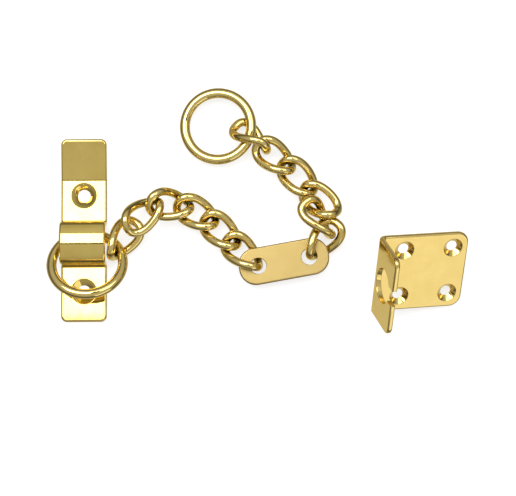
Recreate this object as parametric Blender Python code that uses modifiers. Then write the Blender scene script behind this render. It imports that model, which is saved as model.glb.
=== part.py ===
"""Door chain guard in polished brass: a frame plate with a saddle and a captive ring, a run of
curb chain, a flat tag, a second run of curb chain with a stop ring, and an angle bracket with a
keyhole for the door. It lies on a flat surface with the chain spread out. Metres, +Z up."""

from math import cos, pi, radians, sin

import bmesh
import bpy
from mathutils import Matrix, Vector

OBJECT_NAME = "door_chain_guard"
# Moves the whole layout so that the origin is the middle of its bounding box, on the surface.
LAYOUT_SHIFT = Vector((0.00018, 0.00127, 0.0))

# Frame plate: one strip bent up into a saddle between two lands.
STRIP_WIDTH = 0.019
STRIP_THICKNESS = 0.002
LOWER_LAND = 0.0224
UPPER_LAND = 0.0157
RAISED_END = 0.0168
RAISED_END_ANGLE = 7.0
RAISED_END_RADIUS = 0.012
SADDLE_WALL = 0.0049
SADDLE_WALL_ANGLE = 86.0
SADDLE_FOOT_RADIUS = 0.0018
SADDLE_CORNER_RADIUS = 0.0026
SADDLE_CROWN_RADIUS = 0.013
SADDLE_CROWN_ANGLE = 30.5
STRIP_CORNER_RADIUS = 0.0025
STRIP_EDGE_ROUND = 0.0006
STRIP_END = Vector((-0.072, -0.0464, 0.0))
STRIP_SCREW_HOLE = 0.0053
STRIP_SCREW_HEAD = 0.0107
STRIP_HOLES_Y = (-0.0338, 0.0062)

# Wire rings: outer diameter and wire diameter, then the ring's middle seen from its hinge.
CAPTIVE_RING = (0.0336, 0.0042)
CAPTIVE_RING_MIDDLE = (0.0, -0.01075, 0.00113)
STOP_RING = (0.032, 0.0042)
STOP_RING_MIDDLE = (-0.0139, 0.0, 0.0)

# Curb links: a wire oval twisted a quarter turn from end to end. Each hinges near one end, and
# the link in the tag's far hole hinges about the hole.
LINK_LENGTH = 0.0209
LINK_HINGE = 0.0063
HOLE_LINK_HINGE = 0.0093
LINK_WIDTH = 0.0141
LINK_WIRE = 0.0035
LINK_TWIST = 90.0
LINK_SQUARENESS = 2.6
LINK_POINTS = 36

# Tag: a flat plate with two round ends and a hole in each.
TAG_LENGTH = 0.0376
TAG_WIDTH = 0.0154
TAG_THICKNESS = 0.0018
TAG_CORNER_RADIUS = 0.007
TAG_HOLE = 0.0066
TAG_HOLE_SPACING = 0.0214
TAG_EDGE_ROUND = 0.0003

# Door bracket: sheet bent to a right angle, its base along X and its leg along Z.
BRACKET_BASE = 0.0391
BRACKET_HEIGHT = 0.0343
BRACKET_LEG = 0.0225
BRACKET_THICKNESS = 0.0022
BRACKET_BEND_RADIUS = 0.003
BRACKET_BASE_CORNER = 0.0048
BRACKET_LEG_CORNER = 0.0035
BRACKET_EDGE_ROUND = 0.0004
BRACKET_HOLE_PITCH = 0.021
BRACKET_HOLES_X = 0.0025
BRACKET_SCREW_HOLE = 0.0044
BRACKET_SCREW_HEAD = 0.008
KEYHOLE_DIAMETER = 0.0146
KEYHOLE_HEIGHT = 0.0112
KEYHOLE_SLOT = 0.0065

# Where the loose pieces lie: the hinge's place, then rotation about X, Y and Z in degrees.
CAPTIVE_RING_PLACE = ((-0.0699, -0.0140, 0.0040), (-28.5, 0, 0))
STOP_RING_PLACE = ((-0.0022, 0.0355, 0.0070), (1.5, -6, 4))
TAG_PLACE = ((0.0005, -0.0240, 0.0065), (0, 0, 10))
BRACKET_PLACE = ((0.0660, -0.0264, 0.0134), (34, 15.5, 4.5))

# The links in order: the hinge's place, then roll about the link's length, lift above the
# surface and heading in plan, in degrees.
FIRST_RUN = (
    ((-0.0590, -0.0175, 0.0070), (36, -8, 54)),
    ((-0.0515, -0.0070, 0.0115), (-12, -16, 44)),
    ((-0.0420, 0.0020, 0.0090), (-10, -18, -2)),
    ((-0.0305, 0.0015, 0.0055), (-10, -2, -30)),
    ((-0.0195, -0.0050, 0.0050), (-16, 2, -44)),
    ((-0.0105, -0.0140, 0.0055), (-26, 6, -44)),
)
SECOND_RUN = (
    ((0.0216, -0.0203, 0.0063), (32, 4, 50)),
    ((0.0290, -0.0095, 0.0075), (54, 14, 128)),
    ((0.0305, -0.0010, 0.0090), (0, -16, 140)),
    ((0.0215, 0.0085, 0.0055), (6, 6, 134)),
    ((0.0125, 0.0175, 0.0070), (16, 2, 142)),
    ((0.0025, 0.0260, 0.0090), (58, -20, 140)),
)

POLISHED_BRASS = ((0.80, 0.62, 0.28), 0.12)
BRIGHT_BRASS = ((0.86, 0.72, 0.42), 0.18)
CHAIN_BRASS = ((0.74, 0.56, 0.22), 0.14)

CUT_MARGIN = 0.004
SINK_OVERLAP = 0.0004
SINK_LAND = 0.0003
HOLE_SEGMENTS = 32
ARC_STEP = 15.0


def new_collection(name):
    """A collection linked to the scene."""
    collection = bpy.data.collections.new(name)
    bpy.context.scene.collection.children.link(collection)
    return collection


def brass(name, finish):
    """A Principled material with a colour and a roughness."""
    colour, roughness = finish
    material = bpy.data.materials.new(name)
    material.use_nodes = True
    shader = material.node_tree.nodes["Principled BSDF"]
    shader.inputs["Base Color"].default_value = (*colour, 1.0)
    shader.inputs["Metallic"].default_value = 1.0
    shader.inputs["Roughness"].default_value = roughness
    return material


def add_object(name, data, collection):
    """An object with its data, in one collection only."""
    thing = bpy.data.objects.new(name, data)
    collection.objects.link(thing)
    return thing


def set_place(thing, place):
    """Puts an object at a place given as a location and XYZ angles in degrees."""
    location, angles = place
    thing.location = location
    thing.rotation_euler = [radians(angle) for angle in angles]


def arc(centre, radius, start, turn):
    """Points of an arc in a plane, from its start angle through its turn, in degrees."""
    steps = max(2, round(abs(turn) / ARC_STEP))
    angles = [radians(start + turn * step / steps) for step in range(steps + 1)]
    return [(centre[0] + radius * cos(a), centre[1] + radius * sin(a)) for a in angles]


def rounded_rectangle(length, width, radius):
    """Outline of a rectangle with round corners, centred on the origin."""
    x, y = length / 2 - radius, width / 2 - radius
    corners = (((x, y), 0), ((-x, y), 90), ((-x, -y), 180), ((x, -y), 270))
    return [point for centre, start in corners for point in arc(centre, radius, start, 90)]


def bent_path(start, moves):
    """Walks a profile: each move is a straight length, or a radius and a turn in degrees."""
    points = [start]
    heading = 0.0
    for kind, length, turn in moves:
        x, y = points[-1]
        if kind == "straight":
            points.append((x + length * cos(heading), y + length * sin(heading)))
            continue
        side = 1 if turn > 0 else -1
        centre = (x - side * length * sin(heading), y + side * length * cos(heading))
        first = heading * 180 / pi - side * 90
        points.extend(arc(centre, length, first, turn)[1:])
        heading += radians(turn)
    return points


def strip_mesh(name, profile, place_point, width):
    """An open strip: the profile's points swept across the width."""
    shape = bmesh.new()
    rows = [
        [shape.verts.new(place_point(u, v, side * width / 2)) for side in (-1, 1)]
        for u, v in profile
    ]
    for (a, b), (c, d) in zip(rows, rows[1:]):
        shape.faces.new((a, b, d, c))
    mesh = bpy.data.meshes.new(name)
    shape.to_mesh(mesh)
    shape.free()
    return mesh


def prism_cutter(name, outline, depth, parent, cutters):
    """A flat outline extruded both ways along Z, as a cutter."""
    shape = bmesh.new()
    face = shape.faces.new([shape.verts.new((x, y, -depth)) for x, y in outline])
    grown = bmesh.ops.extrude_face_region(shape, geom=[face])
    top = [item for item in grown["geom"] if isinstance(item, bmesh.types.BMVert)]
    bmesh.ops.translate(shape, verts=top, vec=(0, 0, 2 * depth))
    bmesh.ops.recalc_face_normals(shape, faces=shape.faces)
    mesh = bpy.data.meshes.new(name)
    shape.to_mesh(mesh)
    shape.free()
    return finish_cutter(add_object(name, mesh, cutters), parent)


def cone_cutter(name, low_radius, high_radius, depth, parent, cutters):
    """A cone or cylinder along Z that starts at its object's origin, as a cutter."""
    shape = bmesh.new()
    bmesh.ops.create_cone(
        shape,
        cap_ends=True,
        segments=HOLE_SEGMENTS,
        radius1=low_radius,
        radius2=high_radius,
        depth=depth,
        matrix=Matrix.Translation((0, 0, depth / 2)),
    )
    mesh = bpy.data.meshes.new(name)
    shape.to_mesh(mesh)
    shape.free()
    return finish_cutter(add_object(name, mesh, cutters), parent)


def finish_cutter(cutter, parent):
    """Hides a cutter and ties it to the piece that it cuts."""
    cutter.parent = parent
    cutter.hide_render = True
    cutter.display_type = "WIRE"
    return cutter


def add_boolean(piece, cutter, operation):
    """A Boolean modifier with the exact solver."""
    modifier = piece.modifiers.new(cutter.name, "BOOLEAN")
    modifier.operation = operation
    modifier.solver = "EXACT"
    modifier.object = cutter


def round_edges(piece, width):
    """Rounds the sharp edges of a piece."""
    modifier = piece.modifiers.new("round_edges", "BEVEL")
    modifier.width = width
    modifier.segments = 2
    modifier.limit_method = "ANGLE"
    modifier.angle_limit = radians(40)


def cut_screw_hole(piece, name, place, thickness, hole, head, cutters):
    """A through hole with a countersink that leaves a thin land at the back of the sheet."""
    x, y, z = place
    through = cone_cutter(name + "_hole", hole / 2, hole / 2, CUT_MARGIN * 2, piece, cutters)
    through.location = (x, y, z - CUT_MARGIN)
    slope = (head - hole) / 2 / (thickness - SINK_LAND)
    low = hole / 2 - SINK_OVERLAP
    high = low + slope * CUT_MARGIN
    countersink = cone_cutter(name + "_countersink", low, high, CUT_MARGIN, piece, cutters)
    countersink.location = (x, y, z + thickness - (head / 2 - low) / slope)
    add_boolean(piece, through, "DIFFERENCE")
    add_boolean(piece, countersink, "DIFFERENCE")


def add_frame_plate(parts, cutters):
    """The strip with its saddle, its two countersunk holes and its round corners."""
    corner_turn = SADDLE_WALL_ANGLE - SADDLE_CROWN_ANGLE
    profile = bent_path(
        (0.0, STRIP_THICKNESS / 2),
        (
            ("straight", LOWER_LAND, 0),
            ("bend", SADDLE_FOOT_RADIUS, SADDLE_WALL_ANGLE),
            ("straight", SADDLE_WALL, 0),
            ("bend", SADDLE_CORNER_RADIUS, -corner_turn),
            ("bend", SADDLE_CROWN_RADIUS, -2 * SADDLE_CROWN_ANGLE),
            ("bend", SADDLE_CORNER_RADIUS, -corner_turn),
            ("straight", SADDLE_WALL, 0),
            ("bend", SADDLE_FOOT_RADIUS, SADDLE_WALL_ANGLE),
            ("straight", UPPER_LAND, 0),
            ("bend", RAISED_END_RADIUS, RAISED_END_ANGLE),
            ("straight", RAISED_END, 0),
        ),
    )
    mesh = strip_mesh("frame_plate", profile, lambda u, v, w: (w, u, v), STRIP_WIDTH)
    plate = add_object("frame_plate", mesh, parts)
    plate.location = STRIP_END
    solidify = plate.modifiers.new("thickness", "SOLIDIFY")
    solidify.thickness = STRIP_THICKNESS
    solidify.offset = 0
    solidify.use_even_offset = True
    length = profile[-1][0]
    outline = rounded_rectangle(length, STRIP_WIDTH, STRIP_CORNER_RADIUS)
    outline = [(y, x + length / 2) for x, y in reversed(outline)]
    trim = prism_cutter("frame_plate_outline", outline, 0.02, plate, cutters)
    add_boolean(plate, trim, "INTERSECT")
    round_edges(plate, STRIP_EDGE_ROUND)
    for number, y in enumerate(STRIP_HOLES_Y, 1):
        place = (0.0, y - STRIP_END.y, 0.0)
        cut_screw_hole(
            plate, f"frame_screw_{number}", place, STRIP_THICKNESS,
            STRIP_SCREW_HOLE, STRIP_SCREW_HEAD, cutters,
        )
    return plate


def add_ring(name, size, middle, place, parts):
    """A closed wire ring with its origin on its hinge."""
    outer, wire = size
    bpy.ops.mesh.primitive_torus_add(
        major_segments=56,
        minor_segments=10,
        major_radius=(outer - wire) / 2,
        minor_radius=wire / 2,
    )
    ring = bpy.context.object
    ring.name = name
    ring.data.name = name
    ring.data.transform(Matrix.Translation(middle))
    for collection in list(ring.users_collection):
        collection.objects.unlink(ring)
    parts.objects.link(ring)
    set_place(ring, place)
    return ring


def link_point(turn):
    """A point on a curb link's wire: a squarish oval whose plane turns along its length."""
    half_length = (LINK_LENGTH - LINK_WIRE) / 2
    half_width = (LINK_WIDTH - LINK_WIRE) / 2
    power = 2 / LINK_SQUARENESS
    along = half_length * abs(cos(turn)) ** power * (1 if cos(turn) > 0 else -1)
    across = half_width * abs(sin(turn)) ** power * (1 if sin(turn) > 0 else -1)
    plane = -radians(LINK_TWIST / 2) * along / half_length
    return (along, across * cos(plane), across * sin(plane))


def add_link(name, hinge, place, parts):
    """A closed curb link of round wire, its origin a given way from its middle."""
    curve = bpy.data.curves.new(name, "CURVE")
    curve.dimensions = "3D"
    curve.bevel_depth = LINK_WIRE / 2
    curve.bevel_resolution = 2
    spline = curve.splines.new("POLY")
    spline.points.add(LINK_POINTS - 1)
    spline.use_cyclic_u = True
    for number, point in enumerate(spline.points):
        x, y, z = link_point(2 * pi * (number + 0.5) / LINK_POINTS)
        point.co = (x + hinge, y, z, 1.0)
    link = add_object(name, curve, parts)
    (location, (roll, lift, heading)) = place
    set_place(link, (location, (roll, -lift, heading)))
    return link


def add_spline(curve, outline):
    """A closed straight-sided spline in a flat curve."""
    spline = curve.splines.new("POLY")
    spline.points.add(len(outline) - 1)
    spline.use_cyclic_u = True
    for point, (x, y) in zip(spline.points, outline):
        point.co = (x, y, 0.0, 1.0)


def add_tag(parts):
    """The flat tag with a hole near each end and its origin in the first one."""
    curve = bpy.data.curves.new("tag_plate", "CURVE")
    curve.dimensions = "2D"
    curve.fill_mode = "BOTH"
    curve.extrude = TAG_THICKNESS / 2 - TAG_EDGE_ROUND
    curve.bevel_depth = TAG_EDGE_ROUND
    curve.bevel_resolution = 1
    grown = TAG_EDGE_ROUND
    size = (TAG_LENGTH - 2 * grown, TAG_WIDTH - 2 * grown, TAG_CORNER_RADIUS - grown)
    middle = TAG_HOLE_SPACING / 2
    add_spline(curve, [(x + middle, y) for x, y in rounded_rectangle(*size)])
    for x in (0.0, TAG_HOLE_SPACING):
        add_spline(curve, arc((x, 0.0), TAG_HOLE / 2 + grown, 0, 360)[:-1])
    tag = add_object("tag_plate", curve, parts)
    weld = tag.modifiers.new("close_caps", "WELD")
    weld.merge_threshold = 0.00001
    set_place(tag, TAG_PLACE)
    return tag


def add_bracket(parts, cutters):
    """The angle bracket: base with four countersunk holes, leg with a keyhole."""
    inner = BRACKET_BEND_RADIUS
    profile = [(-BRACKET_BASE / 2, BRACKET_LEG)]
    corner = (-BRACKET_BASE / 2 + inner, inner)
    profile += arc(corner, inner, 180, 90)
    profile += [(BRACKET_BASE / 2, 0.0)]
    mesh = strip_mesh("door_bracket", profile, lambda u, v, w: (u, w, v), BRACKET_HEIGHT)
    bracket = add_object("door_bracket", mesh, parts)
    set_place(bracket, BRACKET_PLACE)
    solidify = bracket.modifiers.new("thickness", "SOLIDIFY")
    solidify.thickness = BRACKET_THICKNESS
    solidify.offset = -1
    solidify.use_even_offset = True

    reach = BRACKET_BASE_CORNER * 3
    base = rounded_rectangle(BRACKET_BASE + reach, BRACKET_HEIGHT, BRACKET_BASE_CORNER)
    base = [(x - reach / 2, y) for x, y in base]
    base_trim = prism_cutter("bracket_base_outline", base, 0.04, bracket, cutters)
    add_boolean(bracket, base_trim, "INTERSECT")
    leg = rounded_rectangle(BRACKET_LEG + reach, BRACKET_HEIGHT, BRACKET_LEG_CORNER)
    leg = [(x + (BRACKET_LEG - reach) / 2, y) for x, y in leg]
    leg_trim = prism_cutter("bracket_leg_outline", leg, 0.06, bracket, cutters)
    leg_trim.rotation_euler = (0, radians(-90), 0)
    add_boolean(bracket, leg_trim, "INTERSECT")
    round_edges(bracket, BRACKET_EDGE_ROUND)

    for number in range(4):
        x = BRACKET_HOLES_X + BRACKET_HOLE_PITCH * (0.5 if number % 2 else -0.5)
        y = BRACKET_HOLE_PITCH * (0.5 if number // 2 else -0.5)
        cut_screw_hole(
            bracket, f"bracket_screw_{number + 1}", (x, y, 0.0), BRACKET_THICKNESS,
            BRACKET_SCREW_HOLE, BRACKET_SCREW_HEAD, cutters,
        )
    radius = KEYHOLE_DIAMETER / 2
    keyhole = arc((KEYHOLE_HEIGHT, 0.0), radius, 30, 300)
    mouth = BRACKET_LEG + CUT_MARGIN
    half_slot = KEYHOLE_SLOT / 2
    keyhole += [
        (KEYHOLE_HEIGHT + radius, -half_slot),
        (mouth, -half_slot),
        (mouth, half_slot),
        (KEYHOLE_HEIGHT + radius, half_slot),
    ]
    cutter = prism_cutter("bracket_keyhole", keyhole, CUT_MARGIN, bracket, cutters)
    cutter.rotation_euler = (0, radians(-90), 0)
    cutter.location = (-BRACKET_BASE / 2, 0, 0)
    add_boolean(bracket, cutter, "DIFFERENCE")
    return bracket


def main():
    """Builds the guard."""
    for thing in list(bpy.data.objects):
        bpy.data.objects.remove(thing)
    parts = new_collection(OBJECT_NAME)
    cutters = new_collection(OBJECT_NAME + "_cutters")

    plate = add_frame_plate(parts, cutters)
    captive_ring = add_ring(
        "captive_ring", CAPTIVE_RING, CAPTIVE_RING_MIDDLE, CAPTIVE_RING_PLACE, parts
    )
    links = []
    for number, place in enumerate(FIRST_RUN + SECOND_RUN, 1):
        hinge = HOLE_LINK_HINGE if number == len(FIRST_RUN) + 1 else LINK_HINGE
        links.append(add_link(f"link_{number:02d}", hinge, place, parts))
    tag = add_tag(parts)
    stop_ring = add_ring("stop_ring", STOP_RING, STOP_RING_MIDDLE, STOP_RING_PLACE, parts)
    bracket = add_bracket(parts, cutters)

    finishes = [(plate, POLISHED_BRASS), (bracket, BRIGHT_BRASS), (tag, BRIGHT_BRASS)]
    finishes += [(piece, CHAIN_BRASS) for piece in (captive_ring, stop_ring, *links)]
    for piece, finish in finishes:
        piece.data.materials.append(brass(piece.name + "_brass", finish))
        piece.location += LAYOUT_SHIFT
    for piece in (plate, bracket, captive_ring, stop_ring):
        piece.data.shade_smooth()
        piece.data.set_sharp_from_angle(angle=radians(40))


main()
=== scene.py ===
"""Door chain guard in polished brass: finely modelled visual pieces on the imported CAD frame,
procedural brass, a pale floor and soft studio light."""

from math import asin, cos, degrees, pi, radians, sin

import bmesh
import bpy
from mathutils import Euler, Matrix, Vector


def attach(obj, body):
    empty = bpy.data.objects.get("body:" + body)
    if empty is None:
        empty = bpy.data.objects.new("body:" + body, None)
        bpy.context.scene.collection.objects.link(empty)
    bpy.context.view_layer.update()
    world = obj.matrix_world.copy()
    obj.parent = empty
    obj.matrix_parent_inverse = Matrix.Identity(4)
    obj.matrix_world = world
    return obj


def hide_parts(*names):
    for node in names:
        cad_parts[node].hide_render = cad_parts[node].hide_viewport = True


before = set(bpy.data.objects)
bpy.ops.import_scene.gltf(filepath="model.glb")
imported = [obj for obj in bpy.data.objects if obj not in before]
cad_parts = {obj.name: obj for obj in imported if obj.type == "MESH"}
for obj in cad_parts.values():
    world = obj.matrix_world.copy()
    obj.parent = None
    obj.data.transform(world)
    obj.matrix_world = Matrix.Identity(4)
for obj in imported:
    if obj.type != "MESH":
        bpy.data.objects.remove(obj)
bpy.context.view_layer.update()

# ---------------------------------------------------------------- dimensions, as in the CAD
LAYOUT_SHIFT = Vector((0.00018, 0.00127, 0.0))

STRIP_WIDTH = 0.019
STRIP_THICKNESS = 0.002
STRIP_CORNER_RADIUS = 0.0025
STRIP_END = Vector((-0.072, -0.0464, 0.0))
STRIP_SCREW_HOLE = 0.0053
STRIP_SCREW_HEAD = 0.0107
STRIP_HOLES_Y = (-0.0338, 0.0062)
SADDLE_WALL_ANGLE = 86.0
SADDLE_CROWN_ANGLE = 30.5
CORNER_TURN = SADDLE_WALL_ANGLE - SADDLE_CROWN_ANGLE
# The middle line of the strip: straight runs, and bends with a radius and a turn in degrees.
STRIP_MOVES = (
    ("straight", 0.0224, 0),
    ("bend", 0.0018, SADDLE_WALL_ANGLE),
    ("straight", 0.0049, 0),
    ("bend", 0.0026, -CORNER_TURN),
    ("bend", 0.013, -2 * SADDLE_CROWN_ANGLE),
    ("bend", 0.0026, -CORNER_TURN),
    ("straight", 0.0049, 0),
    ("bend", 0.0018, SADDLE_WALL_ANGLE),
    ("straight", 0.0157, 0),
    ("bend", 0.012, 7.0),
    ("straight", 0.0168, 0),
)
# Which of those moves is the land above the saddle.
UPPER_LAND = 8

CAPTIVE_RING = (0.0336, 0.0042)
CAPTIVE_RING_MIDDLE = (0.0, -0.01075, 0.00113)
CAPTIVE_RING_PLACE = ((-0.0699, -0.0140, 0.0040), (-28.5, 0, 0))
STOP_RING = (0.032, 0.0042)
STOP_RING_MIDDLE = (-0.0139, 0.0, 0.0)
STOP_RING_PLACE = ((-0.0022, 0.0355, 0.0070), (1.5, -6, 4))

LINK_LENGTH = 0.0209
LINK_WIDTH = 0.0141
LINK_WIRE = 0.0035
LINK_TWIST = 90.0
LINK_SQUARENESS = 2.6
LINK_HINGE = 0.0063
HOLE_LINK_HINGE = 0.0093
FIRST_RUN = (
    ((-0.0590, -0.0175, 0.0070), (36, -8, 54)),
    ((-0.0515, -0.0070, 0.0115), (-12, -16, 44)),
    ((-0.0420, 0.0020, 0.0090), (-10, -18, -2)),
    ((-0.0305, 0.0015, 0.0055), (-10, -2, -30)),
    ((-0.0195, -0.0050, 0.0050), (-16, 2, -44)),
    ((-0.0105, -0.0140, 0.0055), (-26, 6, -44)),
)
SECOND_RUN = (
    ((0.0216, -0.0203, 0.0063), (32, 4, 50)),
    ((0.0290, -0.0095, 0.0075), (54, 14, 128)),
    ((0.0305, -0.0010, 0.0090), (0, -16, 140)),
    ((0.0215, 0.0085, 0.0055), (6, 6, 134)),
    ((0.0125, 0.0175, 0.0070), (16, 2, 142)),
    ((0.0025, 0.0260, 0.0090), (58, -20, 140)),
)

TAG_LENGTH = 0.0376
TAG_WIDTH = 0.0154
TAG_THICKNESS = 0.0018
TAG_CORNER_RADIUS = 0.007
TAG_HOLE = 0.0066
TAG_HOLE_SPACING = 0.0214
TAG_PLACE = ((0.0005, -0.0240, 0.0065), (0, 0, 10))

BRACKET_BASE = 0.0391
BRACKET_HEIGHT = 0.0343
BRACKET_LEG = 0.0225
BRACKET_THICKNESS = 0.0022
BRACKET_BEND_RADIUS = 0.003
BRACKET_BASE_CORNER = 0.0048
BRACKET_LEG_CORNER = 0.0035
BRACKET_HOLE_PITCH = 0.021
BRACKET_HOLES_X = 0.0025
BRACKET_SCREW_HOLE = 0.0044
BRACKET_SCREW_HEAD = 0.008
KEYHOLE_DIAMETER = 0.0146
KEYHOLE_HEIGHT = 0.0112
KEYHOLE_SLOT = 0.0065
BRACKET_PLACE = ((0.0660, -0.0264, 0.0134), (34, 15.5, 4.5))

# ---------------------------------------------------------------- fineness of the visual pieces
RING_STEPS = 144
LINK_STEPS = 96
LINK_FINE_STEPS = 1440
WIRE_SIDES = 28
CORNER_STEPS = 12
HOLE_SEGMENTS = 72
MOUTH_STEPS = 4
EDGE_STEPS = 4
EDGE_ANGLE = 40.0
BEND_STEP = 4.0
RIM_STEPS = 3
# Edges and rims, rounded a little more than the CAD's, which makes the highlights softer.
STRIP_EDGE_ROUND = 0.0009
TAG_EDGE_ROUND = 0.0007
TAG_RIM_ROUND = 0.00025
BRACKET_EDGE_ROUND = 0.0008
RIM_ROUND = 0.00018
MOUTH_ROUND = 0.0006
# The straight land at the back of a countersunk hole, and how far a cutter passes the sheet.
SINK_LAND = 0.0003
CUT_MARGIN = 0.001
# How near a cut a corner counts as on it, and how upright a normal counts as straight up.
ON_THE_CUT = 1e-7
UPRIGHT = 0.9999

# ---------------------------------------------------------------- look, light and camera
# Grains are noise scales per metre. Painted shade: the colour in a crevice darkens as less of its
# surroundings is open.
CLOUD_GRAIN = 160.0
MARK_GRAIN = 1400.0
MARK_STRETCH = (1.0, 0.25, 1.0)
PAINTED_SHADE_REACH = 0.003
PAINTED_SHADE_OPENNESS = (0.22, 0.68)
PAINTED_SHADE_DARK = 0.05
RIPPLE_HEIGHT = 0.00004
EDGE_TINT = (1.0, 0.9, 0.62, 1.0)
FLOOR_SIZE = 12.0
FLOOR_DROP = 0.0002
FLOOR_GREY = 0.45
FLOOR_GLOW = 0.72
# Brightness of the surroundings by the sine of the height above the horizon.
WORLD_STOPS = (
    (-1.0, 0.80), (-0.7, 0.58), (-0.5, 0.36), (-0.15, 0.20), (0.0, 0.07),
    (0.15, 0.12), (0.4, 0.40), (0.75, 0.58), (1.0, 0.58),
)
WORLD_NEAR = 0.85
WORLD_FAR = 1.15
CAMERA_TARGET = Vector((0.00055, -0.015, 0.004))
CAMERA_DISTANCE = 0.8
CAMERA_ELEVATION = 84.93
CAMERA_ROLL = -0.336
CAMERA_LENS = 134.6


# ---------------------------------------------------------------- shapes
def arc(centre, radius, start, turn, steps):
    """Points of an arc in a plane, angles in degrees."""
    angles = [radians(start + turn * step / steps) for step in range(steps + 1)]
    return [(centre[0] + radius * cos(a), centre[1] + radius * sin(a)) for a in angles]


def round_ended(length, width, first_radius, last_radius):
    """Outline of a rectangle that starts at X 0, with round corners at its two ends."""
    points = []
    for radius, x, start in (
        (last_radius, length - last_radius, 0),
        (first_radius, first_radius, 90),
        (first_radius, first_radius, 180),
        (last_radius, length - last_radius, 270),
    ):
        y = (width / 2 - radius) * (1 if start < 180 else -1)
        points += arc((x, y), radius, start, 90, CORNER_STEPS)
    return points


def new_object(name, mesh):
    """An object for a mesh, linked to the scene."""
    thing = bpy.data.objects.new(name, mesh)
    bpy.context.scene.collection.objects.link(thing)
    return thing


def slab_mesh(name, outline, low, high):
    """A flat outline extruded between two heights."""
    shape = bmesh.new()
    face = shape.faces.new([shape.verts.new((x, y, low)) for x, y in outline])
    grown = bmesh.ops.extrude_face_region(shape, geom=[face])
    top = [item for item in grown["geom"] if isinstance(item, bmesh.types.BMVert)]
    bmesh.ops.translate(shape, verts=top, vec=(0, 0, high - low))
    bmesh.ops.recalc_face_normals(shape, faces=shape.faces)
    mesh = bpy.data.meshes.new(name)
    shape.to_mesh(mesh)
    shape.free()
    return mesh


def rounded_corner(before, corner, after, reach):
    """Points round a profile's corner, from reach before it to reach after it."""
    corner = Vector(corner)
    first = corner + (Vector(before) - corner).normalized() * reach
    last = corner + (Vector(after) - corner).normalized() * reach
    shares = [step / RIM_STEPS for step in range(RIM_STEPS + 1)]
    return [first.lerp(corner, t).lerp(corner.lerp(last, t), t) for t in shares]


def cutter_mesh(outline_at, low, high, widening, rim):
    """A cutter through a sheet, from its low face to its high one, with rounded rims. It grows
    by its widening above a thin land, and outline_at gives its outline once it has grown."""
    knee = (0.0, low + SINK_LAND)
    back = rounded_corner((1.0, low), (0.0, low), knee, rim)
    front = rounded_corner(knee, (widening, high), (1.0, high), rim)
    profile = [(rim, low - CUT_MARGIN), *back, knee, *front, (widening + rim, high + CUT_MARGIN)]
    shape = bmesh.new()
    rings = []
    for grown, height in profile:
        rings.append([shape.verts.new((x, y, height)) for x, y in outline_at(grown)])
    for lower, upper in zip(rings, rings[1:]):
        for corner in range(len(lower)):
            after = (corner + 1) % len(lower)
            shape.faces.new((lower[corner], lower[after], upper[after], upper[corner]))
    shape.faces.new(rings[0])
    shape.faces.new(rings[-1])
    bmesh.ops.recalc_face_normals(shape, faces=shape.faces)
    mesh = bpy.data.meshes.new("cutter")
    shape.to_mesh(mesh)
    shape.free()
    return mesh


def hole_cutter(place, low, high, diameters, rim=RIM_ROUND):
    """A round hole with rounded rims, from its diameter at the back to that at the front."""
    back, front = diameters

    def circle(grown):
        return arc(place, back / 2 + grown, 0, 360, HOLE_SEGMENTS)[:-1]

    return cutter_mesh(circle, low, high, (front - back) / 2, rim)


def finished_mesh(thing, name):
    """The object's mesh with its modifiers applied; the object is removed."""
    graph = bpy.context.evaluated_depsgraph_get()
    mesh = bpy.data.meshes.new_from_object(thing.evaluated_get(graph))
    mesh.name = name
    bpy.data.objects.remove(thing)
    return mesh


def sheet(name, outline, low, high, edge_round, cutters):
    """A flat sheet with rounded edges and cut holes."""
    blank = new_object(name, slab_mesh(name, outline, low, high))
    edges = blank.modifiers.new("edges", "BEVEL")
    edges.width = edge_round
    edges.segments = EDGE_STEPS
    edges.angle_limit = radians(EDGE_ANGLE)
    cutter_objects = []
    for mesh in cutters:
        cutter = new_object("cutter", mesh)
        cutter_objects.append(cutter)
        cut = blank.modifiers.new("cut", "BOOLEAN")
        cut.operation = "DIFFERENCE"
        cut.solver = "EXACT"
        cut.object = cutter
    mesh = finished_mesh(blank, name)
    for cutter in cutter_objects:
        bpy.data.objects.remove(cutter)
    return mesh


def bend_segments(moves):
    """Each move with where it starts along the sheet, its start point and its heading."""
    segments = []
    along, point, heading = 0.0, Vector((0.0, 0.0)), 0.0
    for kind, size, turn in moves:
        ahead = Vector((cos(heading), sin(heading)))
        left = Vector((-sin(heading), cos(heading)))
        if kind == "straight":
            segments.append((kind, along, size, point, ahead, left, 0.0, 1))
            along += size
            point = point + ahead * size
            continue
        side = 1 if turn > 0 else -1
        length = size * radians(abs(turn))
        segments.append((kind, along, length, point, ahead, left, size, side))
        centre = point + left * size * side
        heading += radians(turn)
        point = centre - Vector((-sin(heading), cos(heading))) * size * side
        along += length
    return segments


def bent_point(segments, along, height):
    """Where a point of the flat sheet goes once the sheet is bent, and its new directions."""
    chosen = segments[0]
    for segment in segments:
        if along >= segment[1]:
            chosen = segment
    kind, start, _, point, ahead, left, radius, side = chosen
    run = along - start
    if kind == "straight":
        return point + ahead * run + left * height, (ahead, left)
    angle = run / radius
    out = ahead * sin(angle) - left * side * cos(angle)
    turned = ahead * cos(angle) + left * side * sin(angle)
    return point + left * radius * side + out * (radius - side * height), (turned, -out * side)


def flat_normal(vertex):
    """A vertex normal: straight up or down on the sheet's broad faces, else an average."""
    for face in vertex.link_faces:
        if abs(face.normal.z) > UPRIGHT:
            return face.normal.copy()
    total = Vector()
    for face in vertex.link_faces:
        total += face.normal * face.calc_area()
    return total.normalized()


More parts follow.
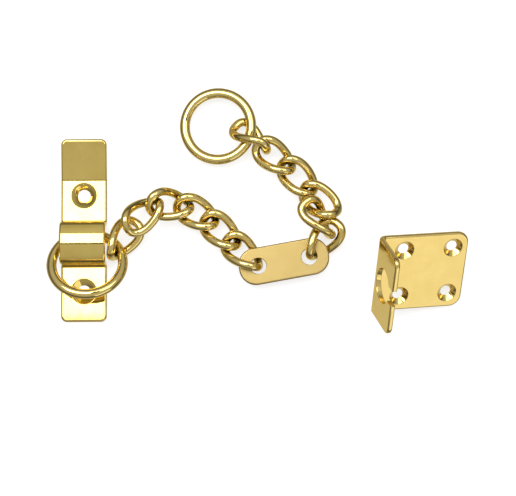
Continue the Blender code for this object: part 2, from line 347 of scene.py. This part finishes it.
def bend(mesh, moves, place_point):
    """Bends a flat mesh that runs along X, after cutting it finely where it bends. Its broad
    faces keep the exact normals of the bent sheet."""
    segments = bend_segments(moves)
    shape = bmesh.new()
    shape.from_mesh(mesh)
    for kind, start, length, _, _, _, radius, _ in segments:
        steps = 1
        if kind == "bend":
            steps = max(2, round(degrees(length / radius) / BEND_STEP))
        for step in range(steps + 1):
            bmesh.ops.bisect_plane(
                shape,
                geom=shape.verts[:] + shape.edges[:] + shape.faces[:],
                dist=ON_THE_CUT,
                plane_co=(start + length * step / steps, 0, 0),
                plane_no=(1, 0, 0),
            )
    bmesh.ops.recalc_face_normals(shape, faces=shape.faces)
    normals = []
    for vertex in shape.verts:
        place, flat = vertex.co.copy(), flat_normal(vertex)
        (u, v), (ahead, left) = bent_point(segments, place.x, place.z)
        vertex.co = place_point(u, place.y, v)
        turned = ahead * flat.x + left * flat.z
        origin = Vector(place_point(0.0, 0.0, 0.0))
        normals.append(Vector(place_point(turned.x, flat.y, turned.y)) - origin)
    shape.to_mesh(mesh)
    shape.free()
    mesh.shade_smooth()
    mesh.normals_split_custom_set_from_vertices(normals)
    return mesh


def wire_mesh(name, points, radius):
    """A closed round wire along a closed line, its sides turning evenly with it."""
    count = len(points)
    tangents = [(points[(i + 1) % count] - points[i - 1]).normalized() for i in range(count)]
    side = tangents[0].orthogonal().normalized()
    sides = [side]
    for before, after in zip(tangents, tangents[1:] + tangents[:1]):
        turned = before.rotation_difference(after) @ sides[-1]
        sides.append((turned - after * turned.dot(after)).normalized())
    last = sides.pop()
    closing = last.angle(sides[0])
    if last.cross(sides[0]).dot(tangents[0]) < 0:
        closing = -closing
    shape = bmesh.new()
    loops = []
    for number, (point, tangent, side) in enumerate(zip(points, tangents, sides)):
        spin = closing * number / count
        across = tangent.cross(side)
        loop = []
        for corner in range(WIRE_SIDES):
            angle = spin + 2 * pi * corner / WIRE_SIDES
            loop.append(shape.verts.new(point + (side * cos(angle) + across * sin(angle)) * radius))
        loops.append(loop)
    for one, two in zip(loops, loops[1:] + loops[:1]):
        for corner in range(WIRE_SIDES):
            after = (corner + 1) % WIRE_SIDES
            shape.faces.new((one[corner], one[after], two[after], two[corner]))
    bmesh.ops.recalc_face_normals(shape, faces=shape.faces)
    mesh = bpy.data.meshes.new(name)
    shape.to_mesh(mesh)
    shape.free()
    mesh.shade_smooth()
    return mesh


def link_point(turn):
    """A point on a curb link's wire: a squarish oval whose plane turns along its length."""
    half_length = (LINK_LENGTH - LINK_WIRE) / 2
    half_width = (LINK_WIDTH - LINK_WIRE) / 2
    power = 2 / LINK_SQUARENESS
    along = half_length * abs(cos(turn)) ** power * (1 if cos(turn) > 0 else -1)
    across = half_width * abs(sin(turn)) ** power * (1 if sin(turn) > 0 else -1)
    plane = -radians(LINK_TWIST / 2) * along / half_length
    return Vector((along, across * cos(plane), across * sin(plane)))


def even_points(points, count):
    """Points at even distances along a closed line."""
    lengths = [(b - a).length for a, b in zip(points, points[1:] + points[:1])]
    step = sum(lengths) / count
    picked, wanted, passed = [], 0.0, 0.0
    for a, b, length in zip(points, points[1:] + points[:1], lengths):
        while wanted < passed + length - 1e-12 and len(picked) < count:
            picked.append(a.lerp(b, (wanted - passed) / length))
            wanted += step
        passed += length
    return picked


def link_mesh(name, hinge):
    """A curb link with its origin on its hinge."""
    steps = LINK_FINE_STEPS
    fine = [link_point(2 * pi * (number + 0.5) / steps) for number in range(steps)]
    middle = Vector((hinge, 0.0, 0.0))
    points = [point + middle for point in even_points(fine, LINK_STEPS)]
    return wire_mesh(name, points, LINK_WIRE / 2)


def ring_mesh(name, size, middle):
    """A wire ring with its origin on its hinge."""
    outer, wire = size
    radius = (outer - wire) / 2
    turns = [2 * pi * number / RING_STEPS for number in range(RING_STEPS)]
    points = [Vector((radius * cos(t), radius * sin(t), 0.0)) + Vector(middle) for t in turns]
    return wire_mesh(name, points, wire / 2)


def add_piece(node, mesh, place):
    """A visual piece in its place, riding on its node's body and standing for its node."""
    piece = new_object(node + "_fine", mesh)
    location, angles = place
    mesh.transform(Euler([radians(angle) for angle in angles]).to_matrix().to_4x4())
    piece.location = Vector(location) + LAYOUT_SHIFT
    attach(piece, node)
    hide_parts(node)
    return piece


def add_frame_plate():
    """The strip: cut and drilled flat, then bent."""
    segments = bend_segments(STRIP_MOVES)
    length = segments[-1][1] + segments[-1][2]
    outline = round_ended(length, STRIP_WIDTH, STRIP_CORNER_RADIUS, STRIP_CORNER_RADIUS)
    top = STRIP_THICKNESS / 2
    saddle_start = STRIP_MOVES[0][1]
    upper_start = segments[UPPER_LAND][1]
    upper_y = STRIP_END.y + segments[UPPER_LAND][3].x
    cutters = []
    for y in STRIP_HOLES_Y:
        along = y - STRIP_END.y
        if along > saddle_start:
            along = upper_start + y - upper_y
        cutters.append(hole_cutter((along, 0.0), -top, top, (STRIP_SCREW_HOLE, STRIP_SCREW_HEAD)))
    mesh = sheet("frame_plate_fine", outline, -top, top, STRIP_EDGE_ROUND, cutters)
    bend(mesh, STRIP_MOVES, lambda u, w, v: (-w, u, v + top))
    return add_piece("frame_plate", mesh, (STRIP_END, (0, 0, 0)))


def add_tag():
    """The flat tag with its two holes."""
    outline = round_ended(TAG_LENGTH, TAG_WIDTH, TAG_CORNER_RADIUS, TAG_CORNER_RADIUS)
    half = TAG_THICKNESS / 2
    margin = (TAG_LENGTH - TAG_HOLE_SPACING) / 2
    cutters = [
        hole_cutter((x, 0.0), -half, half, (TAG_HOLE, TAG_HOLE), TAG_RIM_ROUND)
        for x in (margin, margin + TAG_HOLE_SPACING)
    ]
    mesh = sheet("tag_plate_fine", outline, -half, half, TAG_EDGE_ROUND, cutters)
    bend(mesh, (("straight", TAG_LENGTH, 0),), lambda u, w, v: (u - margin, w, v))
    return add_piece("tag_plate", mesh, TAG_PLACE)


def keyhole_outline(grown):
    """The keyhole's outline in the flat leg: a round eye and a slot with a rounded mouth."""
    radius, half_slot = KEYHOLE_DIAMETER / 2 + grown, KEYHOLE_SLOT / 2 + grown
    neck = degrees(asin(half_slot / radius))
    wide = half_slot + MOUTH_ROUND
    centre = (BRACKET_LEG - KEYHOLE_HEIGHT, 0.0)
    eye = arc(centre, radius, neck - 180, 360 - 2 * neck, HOLE_SEGMENTS)
    upper = arc((MOUTH_ROUND, wide), MOUTH_ROUND, -90, -90, MOUTH_STEPS)
    lower = [(x, -y) for x, y in reversed(upper)]
    return eye + upper + [(-CUT_MARGIN, wide), (-CUT_MARGIN, -wide)] + lower


def add_bracket():
    """The angle bracket: cut and drilled flat, then bent. It runs from the leg's end."""
    radius = BRACKET_BEND_RADIUS
    leg = BRACKET_LEG - radius
    base = BRACKET_BASE - radius
    moves = (("straight", leg, 0), ("bend", radius, 90), ("straight", base, 0))
    bend_length = radius * pi / 2
    length = leg + bend_length + base
    outline = round_ended(length, BRACKET_HEIGHT, BRACKET_LEG_CORNER, BRACKET_BASE_CORNER)
    middle = leg + bend_length - radius + BRACKET_BASE / 2
    cutters = []
    for number in range(4):
        x = middle + BRACKET_HOLES_X + BRACKET_HOLE_PITCH * (0.5 if number % 2 else -0.5)
        y = BRACKET_HOLE_PITCH * (0.5 if number // 2 else -0.5)
        screw = (BRACKET_SCREW_HOLE, BRACKET_SCREW_HEAD)
        cutters.append(hole_cutter((x, y), 0.0, BRACKET_THICKNESS, screw))
    cutters.append(cutter_mesh(keyhole_outline, 0.0, BRACKET_THICKNESS, 0.0, RIM_ROUND))
    mesh = sheet(
        "door_bracket_fine", outline, 0.0, BRACKET_THICKNESS, BRACKET_EDGE_ROUND, cutters
    )
    start = Vector((-BRACKET_BASE / 2, BRACKET_LEG))
    bend(mesh, moves, lambda u, w, v: (start.x + v, w, start.y - u))
    return add_piece("door_bracket", mesh, BRACKET_PLACE)


# ---------------------------------------------------------------- brass
def add_node(tree, kind, place, **settings):
    """A shader node at a place in the tree, with its properties set."""
    node = tree.nodes.new(kind)
    node.location = place
    for name, value in settings.items():
        setattr(node, name, value)
    return node


def noise(tree, place, coordinates, scale, detail=3.0, stretch=(1.0, 1.0, 1.0)):
    """Noise in the piece's own space, scaled per metre."""
    mapping = add_node(tree, "ShaderNodeMapping", (place[0] - 220, place[1]))
    mapping.inputs["Scale"].default_value = stretch
    texture = add_node(tree, "ShaderNodeTexNoise", place)
    texture.inputs["Scale"].default_value = scale
    texture.inputs["Detail"].default_value = detail
    tree.links.new(coordinates, mapping.inputs["Vector"])
    tree.links.new(mapping.outputs["Vector"], texture.inputs["Vector"])
    return texture.outputs["Fac"]


def ramp(tree, place, source, low, high, low_colour, high_colour):
    """A colour ramp between two stops."""
    node = add_node(tree, "ShaderNodeValToRGB", place)
    node.color_ramp.elements[0].position = low
    node.color_ramp.elements[0].color = low_colour
    node.color_ramp.elements[1].position = high
    node.color_ramp.elements[1].color = high_colour
    tree.links.new(source, node.inputs["Fac"])
    return node.outputs["Color"]


def grey(value):
    """An opaque grey."""
    return (value, value, value, 1.0)


def painted_crevice_shade(tree, place, colour):
    """A colour with painted shade, much darker where another piece or another part of the same one
    is close.
    """
    closeness = add_node(tree, "ShaderNodeAmbientOcclusion", (place[0] - 280, place[1]), samples=8)
    closeness.inputs["Distance"].default_value = PAINTED_SHADE_REACH
    openness = closeness.outputs["AO"]
    shade = ramp(tree, place, openness, *PAINTED_SHADE_OPENNESS, grey(PAINTED_SHADE_DARK), grey(1.0))
    product = add_node(tree, "ShaderNodeVectorMath", (-200, 420), operation="MULTIPLY")
    tree.links.new(colour, product.inputs[0])
    tree.links.new(shade, product.inputs[1])
    return product.outputs["Vector"]


def brass(name, pale, deep, polish, rubbed, grain, ripple_strength, painted_shade=False):
    """Brass with cloudy colour, uneven polish, fine rubbing marks and a faint ripple, and on
    request painted shade in its crevices.
    """
    material = bpy.data.materials.new(name)
    material.use_nodes = True
    tree = material.node_tree
    shader = tree.nodes["Principled BSDF"]
    shader.inputs["Metallic"].default_value = 1.0
    shader.inputs["Specular Tint"].default_value = EDGE_TINT
    shader.inputs["Coat Weight"].default_value = 0.03
    shader.inputs["Coat Roughness"].default_value = 0.04
    space = add_node(tree, "ShaderNodeTexCoord", (-1300, 0)).outputs["Object"]
    clouds = noise(tree, (-800, 300), space, CLOUD_GRAIN)
    colour = ramp(tree, (-520, 300), clouds, 0.3, 0.7, (*deep, 1.0), (*pale, 1.0))
    # Painted shade: the base colour darkens in crevices and where pieces come close.
    if painted_shade:
        colour = painted_crevice_shade(tree, (-520, 560), colour)
    tree.links.new(colour, shader.inputs["Base Color"])
    marks = noise(tree, (-800, 0), space, MARK_GRAIN, 4.0, MARK_STRETCH)
    roughness = ramp(tree, (-520, 0), marks, 0.35, 0.75, grey(polish), grey(rubbed))
    tree.links.new(roughness, shader.inputs["Roughness"])
    ripple = noise(tree, (-800, -300), space, grain, 2.0)
    bump = add_node(tree, "ShaderNodeBump", (-260, -300))
    bump.inputs["Strength"].default_value = ripple_strength
    bump.inputs["Distance"].default_value = RIPPLE_HEIGHT
    tree.links.new(ripple, bump.inputs["Height"])
    tree.links.new(bump.outputs["Normal"], shader.inputs["Normal"])
    return material


# ---------------------------------------------------------------- studio
def softbox(name, place, target, size, radiance):
    """A rectangular softbox that faces a target, by the radiance of its face."""
    light = bpy.data.lights.new(name, "AREA")
    light.shape = "RECTANGLE"
    light.size, light.size_y = size
    light.energy = radiance * size[0] * size[1] * pi
    thing = bpy.data.objects.new(name, light)
    bpy.context.scene.collection.objects.link(thing)
    thing.location = place
    thing.rotation_euler = (Vector(target) - Vector(place)).to_track_quat("-Z", "Y").to_euler()
    thing.visible_camera = False
    return thing


def add_world(stops, near, far):
    """A studio whose brightness depends on height above the horizon and grows to the far side."""
    world = bpy.data.worlds.new("studio")
    bpy.context.scene.world = world
    world.use_nodes = True
    tree = world.node_tree
    direction = add_node(tree, "ShaderNodeTexCoord", (-900, 0)).outputs["Generated"]
    split = add_node(tree, "ShaderNodeSeparateXYZ", (-700, 0))
    tree.links.new(direction, split.inputs["Vector"])
    height = add_node(tree, "ShaderNodeMapRange", (-520, 0))
    height.inputs["From Min"].default_value = -1.0
    height.inputs["From Max"].default_value = 1.0
    tree.links.new(split.outputs["Z"], height.inputs["Value"])
    shade = add_node(tree, "ShaderNodeValToRGB", (-320, 0))
    elements = shade.color_ramp.elements
    while len(elements) < len(stops):
        elements.new(0.5)
    for element, (sine, value) in zip(elements, stops):
        element.position = (sine + 1) / 2
        element.color = grey(value)
    tree.links.new(height.outputs["Result"], shade.inputs["Fac"])
    depth = add_node(tree, "ShaderNodeMapRange", (-320, -260))
    depth.inputs["From Min"].default_value = -1.0
    depth.inputs["From Max"].default_value = 1.0
    depth.inputs["To Min"].default_value = near
    depth.inputs["To Max"].default_value = far
    tree.links.new(split.outputs["Y"], depth.inputs["Value"])
    background = tree.nodes["Background"]
    tree.links.new(shade.outputs["Color"], background.inputs["Color"])
    tree.links.new(depth.outputs["Result"], background.inputs["Strength"])


def add_plane(name, size):
    """A rectangle, as an object."""
    shape = bmesh.new()
    bmesh.ops.create_grid(shape, x_segments=1, y_segments=1, size=0.5)
    bmesh.ops.scale(shape, vec=(*size, 1.0), verts=shape.verts)
    mesh = bpy.data.meshes.new(name)
    shape.to_mesh(mesh)
    shape.free()
    return new_object(name, mesh)


def add_flag(name, place, size):
    """A black card that only reflections see."""
    flag = add_plane(name, size)
    flag.location = place
    material = bpy.data.materials.new(name)
    material.use_nodes = True
    shader = material.node_tree.nodes["Principled BSDF"]
    shader.inputs["Base Color"].default_value = grey(0.0)
    shader.inputs["Specular IOR Level"].default_value = 0.0
    flag.data.materials.append(material)
    flag.visible_camera = False
    flag.visible_diffuse = False
    flag.visible_shadow = False


def add_floor():
    """A wide pale floor just under the guard."""
    floor = add_plane("floor", (FLOOR_SIZE, FLOOR_SIZE))
    floor.location.z = -FLOOR_DROP
    material = bpy.data.materials.new("floor_white")
    material.use_nodes = True
    shader = material.node_tree.nodes["Principled BSDF"]
    shader.inputs["Base Color"].default_value = grey(FLOOR_GREY)
    shader.inputs["Emission Color"].default_value = grey(1.0)
    shader.inputs["Emission Strength"].default_value = FLOOR_GLOW
    shader.inputs["Roughness"].default_value = 0.9
    shader.inputs["Specular IOR Level"].default_value = 0.1
    floor.data.materials.append(material)
    floor.visible_glossy = False


def add_camera():
    """The camera, almost overhead."""
    data = bpy.data.cameras.new("camera")
    data.lens = CAMERA_LENS
    data.sensor_width = 36.0
    data.clip_start = 0.01
    data.clip_end = 50.0
    camera = bpy.data.objects.new("camera", data)
    bpy.context.scene.collection.objects.link(camera)
    tilt = Matrix.Rotation(radians(90 - CAMERA_ELEVATION), 4, "X")
    roll = Matrix.Rotation(radians(CAMERA_ROLL), 4, "Z")
    away = tilt @ Vector((0.0, 0.0, CAMERA_DISTANCE))
    camera.matrix_world = Matrix.Translation(CAMERA_TARGET + away) @ tilt @ roll
    bpy.context.scene.camera = camera


# ---------------------------------------------------------------- the guard
plate = add_frame_plate()
tag = add_tag()
bracket = add_bracket()
captive_ring = add_piece(
    "captive_ring", ring_mesh("captive_ring_fine", CAPTIVE_RING, CAPTIVE_RING_MIDDLE),
    CAPTIVE_RING_PLACE,
)
stop_ring = add_piece(
    "stop_ring", ring_mesh("stop_ring_fine", STOP_RING, STOP_RING_MIDDLE), STOP_RING_PLACE
)
plain_link = link_mesh("link_fine", LINK_HINGE)
hole_link = link_mesh("hole_link_fine", HOLE_LINK_HINGE)
links = []
for number, (place, (roll, lift, heading)) in enumerate(FIRST_RUN + SECOND_RUN, 1):
    mesh = hole_link if number == len(FIRST_RUN) + 1 else plain_link
    links.append(add_piece(f"link_{number:02d}", mesh.copy(), (place, (roll, -lift, heading))))

plate.data.materials.append(
    brass(
        "plate_brass", pale=(0.88, 0.67, 0.20), deep=(0.82, 0.60, 0.16),
        polish=0.04, rubbed=0.09, grain=450.0, ripple_strength=0.05,
    )
)
bracket.data.materials.append(
    brass(
        "bracket_brass", pale=(0.88, 0.66, 0.235), deep=(0.83, 0.615, 0.20),
        polish=0.08, rubbed=0.15, grain=450.0, ripple_strength=0.05,
    )
)
tag.data.materials.append(
    brass(
        "tag_brass", pale=(0.515, 0.38, 0.142), deep=(0.485, 0.354, 0.127),
        polish=0.36, rubbed=0.40, grain=400.0, ripple_strength=0.02,
    )
)
# The chain's brass has painted shade in its crevices and between its links.
chain_brass = brass(
    "chain_brass", pale=(0.90, 0.70, 0.26), deep=(0.83, 0.63, 0.21),
    polish=0.03, rubbed=0.08, grain=500.0, ripple_strength=0.06, painted_shade=True,
)
for piece in (captive_ring, stop_ring, *links):
    piece.data.materials.append(chain_brass)

# ---------------------------------------------------------------- light, floor and camera
add_world(WORLD_STOPS, WORLD_NEAR, WORLD_FAR)
softbox("softbox_left", (-0.44, 0.40, 1.2), (-0.44, 0.40, 0.0), (0.84, 0.76), 4.5)
softbox("softbox_right", (0.44, 0.40, 1.2), (0.44, 0.40, 0.0), (0.84, 0.76), 2.2)
softbox("softbox_front", (0.90, -1.30, 0.50), (0.05, -0.03, 0.0), (1.2, 0.9), 0.82)
add_flag("flag_over_chain", (0.125, 0.17, 1.15), (0.27, 0.42))
add_flag("flag_by_camera", (0.0, -0.0325, 1.15), (1.4, 0.075))
add_floor()
add_camera()
bpy.context.scene.view_settings.view_transform = "Standard"
